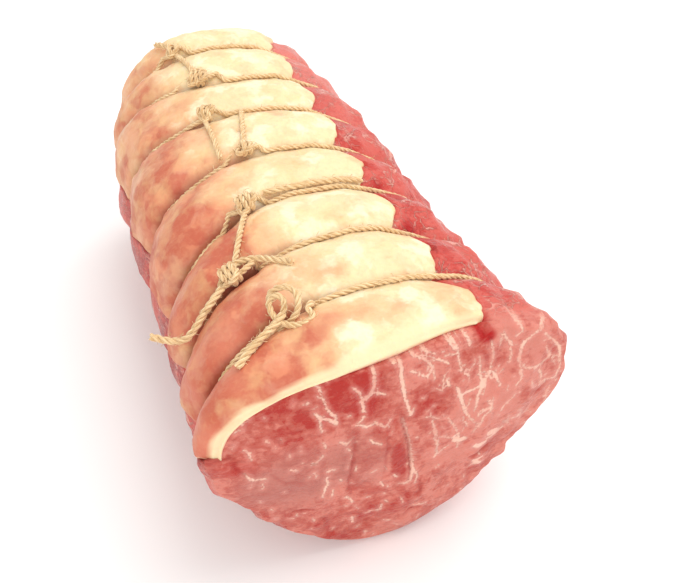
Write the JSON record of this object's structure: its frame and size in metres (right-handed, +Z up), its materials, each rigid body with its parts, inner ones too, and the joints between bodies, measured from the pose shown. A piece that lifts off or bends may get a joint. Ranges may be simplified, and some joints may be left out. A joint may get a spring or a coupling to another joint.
{
  "type": "beef roasting joint",
  "caption": "Raw beef roasting joint: one long lean muscle with a marbled cut face under a cap of fat, tied round with knotted butcher's twine.",
  "frame": {"origin": "on the table, on the flat that the joint rests on, just behind its middle tie", "axes": "+Y along the joint from its marbled cut face to its rounded back end, +X to its right seen from the cut face, +Z up through the fat cap"},
  "size_m": [0.1464, 0.269, 0.1176],
  "materials": {
    "lean": "moist raw beef with fine white marbling",
    "fat": "waxy cream to peach fat",
    "twine": "twisted natural jute"
  },
  "bodies": {
    "root": {"fat_cap": "fat", "knot_1": "twine", "knot_2": "twine", "knot_3": "twine", "knot_4": "twine", "knot_5": "twine", "knot_6": "twine", "knot_7": "twine", "lean": "lean", "twine_link_1": "twine", "twine_link_2": "twine", "twine_link_3": "twine", "twine_link_4": "twine", "twine_loop_1": "twine", "twine_loop_2": "twine", "twine_loop_3": "twine", "twine_loop_4": "twine", "twine_loop_5": "twine", "twine_loop_6": "twine", "twine_loop_7": "twine", "twine_tail_1": "twine", "twine_tail_2_long": "twine", "twine_tail_2_short": "twine", "twine_tail_3": "twine", "twine_tail_7": "twine"}
  },
  "joints": []
}
